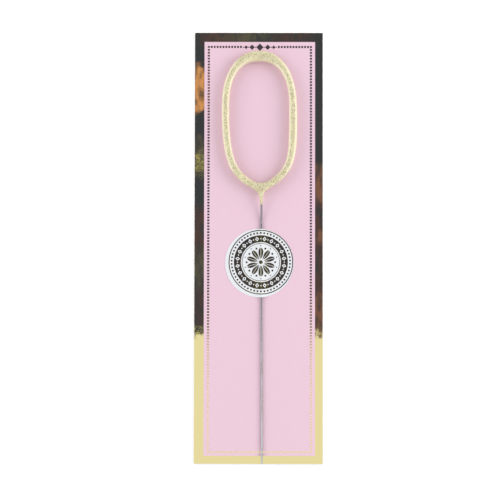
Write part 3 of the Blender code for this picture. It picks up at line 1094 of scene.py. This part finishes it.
# %% [markdown]
# ## The sparkler mix
#
# The number is dipped into a slurry of metal powder and dried hanging by its stem. The mix
# thins out at the foot, gathers on the crown, and ends in a short tapering tail on the stem.
# The Skin modifier suits that: it grows a body of any thickness around a chain of points. A
# circle is shaped to the route, the tail is extruded from the point at the junction, and each
# point gets its thickness. Subdivision rounds the body, and two Displace modifiers give it the
# lumps and the grain of a dried slurry.

# %% Shape the skeleton of the mix
MIX_POINTS = 48
COATING_RADIUS = 2.2
FOOT_RADIUS = 1.9
JUNCTION_RADIUS = 1.92
MOUTH_RADIUS = 0.86
FOOT_REACH_SHARE = 0.06
CROWN_REACH_SHARE = 0.12
RIGHT_SWELL = 0.25
SWELL_MIDDLE_SHARE = 0.22
SWELL_REACH_SHARE = 0.13
TAIL_TAPER_SHARES = ((0.18, 1.05), (0.34, 0.75), (0.50, 0.22), (0.75, 0.03), (1.0, 0.0))
SKIN_DRAW_IN_SHARE = 0.93


def hump(distance, reach):
    """1 in the middle of a round hump, and 0 from its reach on."""
    return math.cos(min(1.0, abs(distance) / reach) * math.pi / 2) ** 2


def mix_radius(share):
    """Radius of the mix at a share of the way round the number, from the junction."""
    foot = hump(min(share, 1 - share), FOOT_REACH_SHARE)
    top = hump(share - 1 / 2, CROWN_REACH_SHARE)
    swell = hump(share - SWELL_MIDDLE_SHARE, SWELL_REACH_SHARE)
    thinned = (FOOT_RADIUS - COATING_RADIUS) * foot
    return COATING_RADIUS + thinned + (CROWN_RADIUS - COATING_RADIUS) * top + RIGHT_SWELL * swell


start_fresh()
bpy.ops.mesh.primitive_circle_add(vertices=MIX_POINTS, radius=NUMBER_WIDTH / 2 * MM)
mix = bpy.context.object
junction = Vector((JUNCTION_SHIFT, JUNCTION_V))
ring = in_scene(number_route(junction, junction, MIX_POINTS + 1)[:-1])
for vertex, point in zip(mix.data.vertices, ring):
    vertex.co = point
deselect_all("VERT")
mix.data.vertices[0].select = True
bpy.ops.object.mode_set(mode="EDIT")
radii = [JUNCTION_RADIUS] + [mix_radius(step / MIX_POINTS) for step in range(1, MIX_POINTS)]
here = ring[0]
for along, left in TAIL_TAPER_SHARES:
    shift = JUNCTION_SHIFT + (TAIL_SHIFT - JUNCTION_SHIFT) * along
    (there,) = in_scene([Vector((shift, JUNCTION_V - TAIL_LENGTH * along))])
    move = {"value": there - here}
    bpy.ops.mesh.extrude_region_move(TRANSFORM_OT_translate=move)
    radii.append(MOUTH_RADIUS + (JUNCTION_RADIUS - MOUTH_RADIUS) * left)
    here = there
bpy.ops.object.mode_set(mode="OBJECT")
print("skeleton points", len(mix.data.vertices), "radii", len(radii))

# %% Grow the skin, round it and roughen it
ROUNDING_LEVELS = 4
DISPLACE_MIDDLE = 0.65

# Name, size and depth
UNEVENNESS = (("lumps", 1.6 * MM, 0.30 * MM), ("grain", 0.32 * MM, 0.10 * MM))

skin = mix.modifiers.new("skin", "SKIN")
skin.use_smooth_shade = True
for slot, radius in zip(mix.data.skin_vertices[0].data, radii):
    slot.radius = (radius * MM / SKIN_DRAW_IN_SHARE, radius * MM / SKIN_DRAW_IN_SHARE)
mix.data.skin_vertices[0].data[0].use_root = True
rounding = mix.modifiers.new("rounding", "SUBSURF")
rounding.levels = rounding.render_levels = ROUNDING_LEVELS
for name, size, depth in UNEVENNESS:
    texture = bpy.data.textures.new(name, "CLOUDS")
    texture.noise_scale = size
    texture.noise_depth = 2
    roughen = mix.modifiers.new(name, "DISPLACE")
    roughen.texture = texture
    roughen.texture_coords = "LOCAL"
    roughen.strength = depth
    roughen.mid_level = DISPLACE_MIDDLE
apply_all(mix)
bpy.ops.object.shade_smooth()
print("mix faces", len(mix.data.polygons))

# %% [markdown]
# The dried mix is metal powder in a binder, painted pale gold. It is mostly matt, and only single
# flecks of powder are brighter, smoother and more metallic. Grains give it a bump and dark pits,
# and the tone drifts slowly along the number. On the strokes the flanks get a paler colour and
# fewer pits than the top. That is painted highlight, standing for the bright rims that light gives
# a round stroke, and it leaves the top darker beside them. That could follow the view, but then it
# would slide in other views, so the surface's own direction and place choose the flanks.

# %% Make the finish of the mix
# The first colour is painted highlight: the paler tone of the strokes' flanks.
PAINTED_HIGHLIGHT_GOLD = (0.94, 0.89, 0.63)
PALE_GOLD = (0.84, 0.78, 0.49)
DULL_GOLD = (0.71, 0.65, 0.41)
FLECK_GOLD = (0.95, 0.91, 0.70)
PIT_BROWN = (0.34, 0.27, 0.15)
SHEEN_GOLD = (1.0, 0.97, 0.86)
SHEEN_WEIGHT = 0.4
SHEEN_ROUGHNESS = 0.35
DRIFT_SCALE = 160.0
DRIFT_LEVELS = (0.35, 0.65)
PIT_SCALE = 1900.0
PIT_LEVELS = (0.47, 0.36)
PITS_UNDER_PAINTED_HIGHLIGHT = 0.25
FLECK_SIZE = 0.42 * MM
FLECK_SHARE = 0.12
PAINTED_HIGHLIGHT_TILTS = (0.965, 0.86)
PAINTED_HIGHLIGHT_FADES = ((112 * MM, 104 * MM), (40 * MM, 48 * MM))
MIX_METALLIC = (0.1, 0.6)
MIX_ROUGHNESS = (0.65, 0.4)
FLECK_RELIEF = 0.02 * MM
GRAIN_RELIEF = 0.05 * MM

mix_finish, tree, shader = new_material("sparkler_mix", PALE_GOLD, MIX_ROUGHNESS[0])
where = object_place(tree)
grains = noise(where, PIT_SCALE, 4.0)
flecks = use_group(fleck_group, Vector=where, Size=FLECK_SIZE, Share=FLECK_SHARE)
# Painted highlight: a mask of the strokes' flanks by the surface's tilt, faded out at the crown and
# the foot. It makes the colour paler and the pits fewer there.
normal = add_node(tree, "NewGeometry").outputs["Normal"]
painted_highlight = soft_step(part_of(normal, "Z"), *PAINTED_HIGHLIGHT_TILTS)
for fade in PAINTED_HIGHLIGHT_FADES:
    painted_highlight = times(painted_highlight, soft_step(part_of(where, "Y"), *fade))
pits = times(soft_step(grains, *PIT_LEVELS), blend(painted_highlight, 1.0, PITS_UNDER_PAINTED_HIGHLIGHT))
drift = soft_step(noise(where, DRIFT_SCALE, 3.0), *DRIFT_LEVELS)
tone = blend(drift, DULL_GOLD, PALE_GOLD)
for share, colour in ((painted_highlight, PAINTED_HIGHLIGHT_GOLD), (flecks["Mask"], FLECK_GOLD), (pits, PIT_BROWN)):
    tone = blend(share, tone, colour)
small = add_bump(flecks["Height"], FLECK_RELIEF)
join_all(
    shader,
    Base_Color=tone,
    Metallic=blend(flecks["Mask"], *MIX_METALLIC),
    Roughness=blend(flecks["Mask"], *MIX_ROUGHNESS),
    Sheen_Weight=SHEEN_WEIGHT,
    Sheen_Roughness=SHEEN_ROUGHNESS,
    Sheen_Tint=SHEEN_GOLD,
    Normal=add_bump(grains, GRAIN_RELIEF, small),
)
print("mix nodes:", len(tree.nodes))

# %% Place the mix and compare it with its solid
mix = name_piece("coated_number", mix_finish)
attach(mix, "sparkler")
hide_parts("sparkler_coating")
solid_low, solid_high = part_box("sparkler_coating")
print("mix", in_mm(*mix.dimensions), "and its solid", in_mm(*(solid_high - solid_low)))

# %% [markdown]
# ## The round sticker
#
# The sticker is thin film, stuck to the card on both sides of the stem and standing up like a
# tent over it. A disc is cut into strips by bisecting it, where the film folds and where it
# curls when it is peeled. The strips over the stem are lifted to the tent's shape: an arc over
# the wire, a straight flank on each side, and a soft bend at its foot. Solidify gives the film its
# thickness. The flat place of each corner is kept in a UV map, so that the print follows the
# film wherever it goes.

# %% Work out the tent
LABEL_RADIUS = 20.0 * MM
GLUE_LINE = 0.05 * MM
TUNNEL_CLEARANCE = 0.15 * MM
TENT_SLOPE = math.radians(23)
FOOT_BEND = 1.0 * MM
WRAP_RADIUS = WIRE_DIAMETER / 2 * MM + TUNNEL_CLEARANCE
WIRE_OVER_LABEL = STEM_LEVEL * MM - FACE - GLUE_LINE
WRAP_REACH = WRAP_RADIUS * math.sin(TENT_SLOPE)
WRAP_HEIGHT = WIRE_OVER_LABEL + WRAP_RADIUS * math.cos(TENT_SLOPE)
FOOT_MIDDLE = WRAP_REACH + WRAP_HEIGHT / math.tan(TENT_SLOPE)
TENT_REACH = FOOT_MIDDLE + FOOT_BEND * math.tan(TENT_SLOPE / 2)
FOOT_START = TENT_REACH - FOOT_BEND * math.sin(TENT_SLOPE)


def tent_height(distance):
    """How far the film stands off the card at a distance from the stem's middle."""
    if distance < WRAP_REACH:
        return WIRE_OVER_LABEL + math.sqrt(WRAP_RADIUS**2 - distance**2)
    if distance < FOOT_START:
        return (FOOT_MIDDLE - distance) * math.tan(TENT_SLOPE)
    left = max(0.0, TENT_REACH - distance)
    return FOOT_BEND - math.sqrt(FOOT_BEND**2 - left**2)


print("the tent reaches", in_mm(TENT_REACH), "to each side of the stem")

# %% Cut the film into strips
LABEL_SIDES = 160
WRAP_STEPS = 5
FOOT_STEPS = 6
PEEL_REACH = 4.0 * MM
PEEL_STEPS = 10
STRIP = 2.0 * MM
STRIPS = 9


def cut_line(u, v, normal):
    """Cuts the whole disc along a line."""
    bpy.ops.mesh.select_all(action="SELECT")
    bpy.ops.mesh.bisect(plane_co=(u, v, 0), plane_no=normal)


folds = [0.0]
for side in (-1, 1):
    for step in range(1, WRAP_STEPS + 1):
        folds.append(side * WRAP_RADIUS * math.sin(TENT_SLOPE * step / WRAP_STEPS))
    for step in range(FOOT_STEPS + 1):
        folds.append(side * (TENT_REACH - FOOT_BEND * math.sin(TENT_SLOPE * step / FOOT_STEPS)))
curl = [LABEL_SHIFT - LABEL_RADIUS + PEEL_REACH * step / PEEL_STEPS for step in range(1, PEEL_STEPS)]
rest_of_it = [STRIP * step for step in range(1 - STRIPS, STRIPS + 1)]
rest_of_it = [u for u in rest_of_it if abs(u) > TENT_REACH]

start_fresh()
bpy.ops.mesh.primitive_circle_add(
    vertices=LABEL_SIDES, radius=LABEL_RADIUS, fill_type="NGON", location=(LABEL_SHIFT, 0, 0)
)
label = bpy.context.object
bpy.ops.object.transform_apply(location=True, rotation=True, scale=True)
bpy.ops.object.mode_set(mode="EDIT")
for u in sorted(folds + curl + rest_of_it):
    cut_line(u, 0, (1, 0, 0))
for step in range(-STRIPS, STRIPS + 1):
    cut_line(0, STRIP * step, (0, 1, 0))
bpy.ops.object.mode_set(mode="OBJECT")
print("flat faces:", len(label.data.polygons))

# %% Fold the film
LABEL_THICKNESS = 0.12 * MM

flat_map = label.data.uv_layers.new(name="flat_place")
for loop in label.data.loops:
    flat = label.data.vertices[loop.vertex_index].co
    map_x = (flat.x - LABEL_SHIFT) / LABEL_RADIUS / 2 + 1 / 2
    map_y = flat.y / LABEL_RADIUS / 2 + 1 / 2
    flat_map.data[loop.index].uv = (map_x, map_y)
for vertex in label.data.vertices:
    u, v, _ = vertex.co
    vertex.co = place(u, v, FACE + GLUE_LINE + tent_height(abs(u)))
film = label.modifiers.new("film", "SOLIDIFY")
film.thickness = LABEL_THICKNESS
film.offset = 1
apply_all(label)
bpy.ops.object.shade_smooth_by_angle(angle=SMOOTH_UP_TO)
print("sticker faces:", len(label.data.polygons), "size", in_mm(*label.dimensions))

# %% [markdown]
# The sticker is glossy white film with a pattern in gold foil, printed a little off centre.
# Because the print is foil, it mirrors the dark ceiling where the film is flat and lights up on
# the ridge over the stem. The pattern is plain: a thin ring, a ring of beads, a band with open
# lozenges, and a rosette of petals. It is drawn in polar places: r in millimetres from the
# print's middle, and s, the distance along the circle to the middle of the nearest copy.

# %% Find each point's place in the print
PRINT_SHIFT = (0.9, 0.5)
LABEL_WHITE = (0.84, 0.865, 0.895)
FILM_ROUGHNESS = 0.24

label_finish, tree, shader = new_material("label_film", LABEL_WHITE, FILM_ROUGHNESS)
flat = add_node(tree, "UVMap", {"uv_map": "flat_place"}).outputs["UV"]
label_mm = 2 * LABEL_RADIUS / MM
right, upward = (
    sums("MULTIPLY_ADD", part_of(flat, axis), label_mm, -label_mm / 2 - shift)
    for axis, shift in zip("XY", PRINT_SHIFT)
)


def squares(a, b):
    """The sum of two squares."""
    return sums("ADD", times(a, a), times(b, b))


r = sums("SQRT", squares(right, upward))
turn = sums("DIVIDE", sums("ARCTAN2", upward, right), 2 * math.pi)


def copies(count, start=0.0):
    """Distance along the circle from the middle of the nearest of some even copies."""
    share = sums("FRACT", sums("MULTIPLY_ADD", turn, count, start + 10))
    angle = times(sums("SUBTRACT", share, 0.5), 2 * math.pi / count)
    return times(angle, r)


print("the print's middle is", PRINT_SHIFT, "mm from the sticker's")

# %% Define the shapes of the print
PETAL_TIP = 1.6
PETAL_VEIN = 0.2


def ring(radius, width):
    """A ring of that middle radius and width."""
    return sums("COMPARE", r, radius, width / 2)


def bead(s, radius, size):
    """A round bead at that radius in each copy."""
    return sums("LESS_THAN", squares(s, sums("SUBTRACT", r, radius)), (size / 2) ** 2)


def lozenge(s, radius, width, height):
    """A lozenge at that radius in each copy."""
    across = sums("DIVIDE", sums("ABSOLUTE", s), width / 2)
    rise = sums("ABSOLUTE", sums("SUBTRACT", r, radius))
    along = sums("DIVIDE", rise, height / 2)
    return sums("LESS_THAN", sums("ADD", across, along), 1)


def petal(s, inner, outer, width):
    """A petal with a round tip and a fine vein, from the inner to the outer radius."""
    along = within_one(sums("DIVIDE", sums("SUBTRACT", r, inner), outer - inner))
    swell = times(sums("POWER", along, PETAL_TIP), math.pi)
    half = times(sums("SQRT", sums("SINE", swell)), width / 2)
    aside = sums("ABSOLUTE", s)
    vein = sums("GREATER_THAN", aside, PETAL_VEIN / 2)
    return times(sums("LESS_THAN", aside, half), vein)


print("shapes:", ", ".join(shape.__name__ for shape in (ring, bead, lozenge, petal)))

# %% Print the sticker
BRONZE = (0.66, 0.57, 0.29)
FOIL_ROUGHNESS = (0.03, 0.12)
SPECK_SCALE = 160.0
RIPPLE_SCALE = 26.0
PRESS_DEPTH = 0.004 * MM
BAND_RADIUS = 13.7
MARKS = 20
PETALS = 10

marks, between = copies(MARKS), copies(MARKS, 0.5)
open_marks = any_of(lozenge(marks, BAND_RADIUS, 2.3, 2.7), bead(between, BAND_RADIUS, 0.7))
band = times(ring(BAND_RADIUS, 4.1), sums("SUBTRACT", 1, open_marks))
petals, gaps = copies(PETALS), copies(PETALS, 0.5)
foil = any_of(
    ring(18.55, 0.6),
    bead(copies(54), 17.05, 1.15),
    band,
    lozenge(marks, BAND_RADIUS, 1.0, 1.2),
    ring(10.9, 0.35),
    petal(petals, 1.7, 8.4, 2.8),
    bead(petals, 9.6, 0.7),
    bead(gaps, 8.3, 1.2),
    sums("LESS_THAN", r, 1.1),
)
foil_roughness = blend(noise(flat, SPECK_SCALE, 3.0), *FOIL_ROUGHNESS)
press = add_bump(sums("SUBTRACT", 1, foil), PRESS_DEPTH)
join_all(
    shader,
    Base_Color=blend(foil, LABEL_WHITE, BRONZE),
    Metallic=foil,
    Roughness=blend(foil, FILM_ROUGHNESS, foil_roughness),
    Normal=add_bump(noise(flat, RIPPLE_SCALE, 2.0), PRESS_DEPTH, press),
)
print("print nodes:", len(tree.nodes))

# %% [markdown]
# The underside of the sticker is bare. It shows when the sticker is peeled up: the same white
# film under a thin, slightly yellow coat of glue, uneven and with the card's fibres in it.

# %% Finish the underside of the sticker
GLUE_WHITE = (0.76, 0.74, 0.66)
GLUE_THIN = (0.84, 0.83, 0.79)
GLUE_ROUGHNESS = (0.3, 0.55)
SMEAR_SCALE = 380.0
SMEAR_LEVELS = (0.4, 0.6)
SMEAR_RELIEF = 0.01 * MM

glue_finish, tree, shader = new_material("sticker_glue", GLUE_WHITE, GLUE_ROUGHNESS[0])
where = object_place(tree)
fibres = use_group(grain_group, Vector=where, Fibre_Width=0.10 * MM, Fibre_Length=0.9 * MM)
coat = soft_step(noise(where, SMEAR_SCALE, 4.0), *SMEAR_LEVELS)
join_all(
    shader,
    Base_Color=blend(coat, GLUE_WHITE, GLUE_THIN),
    Roughness=blend(coat, *GLUE_ROUGHNESS),
    Normal=add_bump(fibres["Height"], SMEAR_RELIEF),
)

label = name_piece("round_sticker", label_finish)
label.data.materials.append(glue_finish)
for face in label.data.polygons:
    face.material_index = 1 if face.normal.z < -0.5 else 0
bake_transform(label)
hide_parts("round_label")
print("faces of the underside:", sum(face.material_index for face in label.data.polygons))
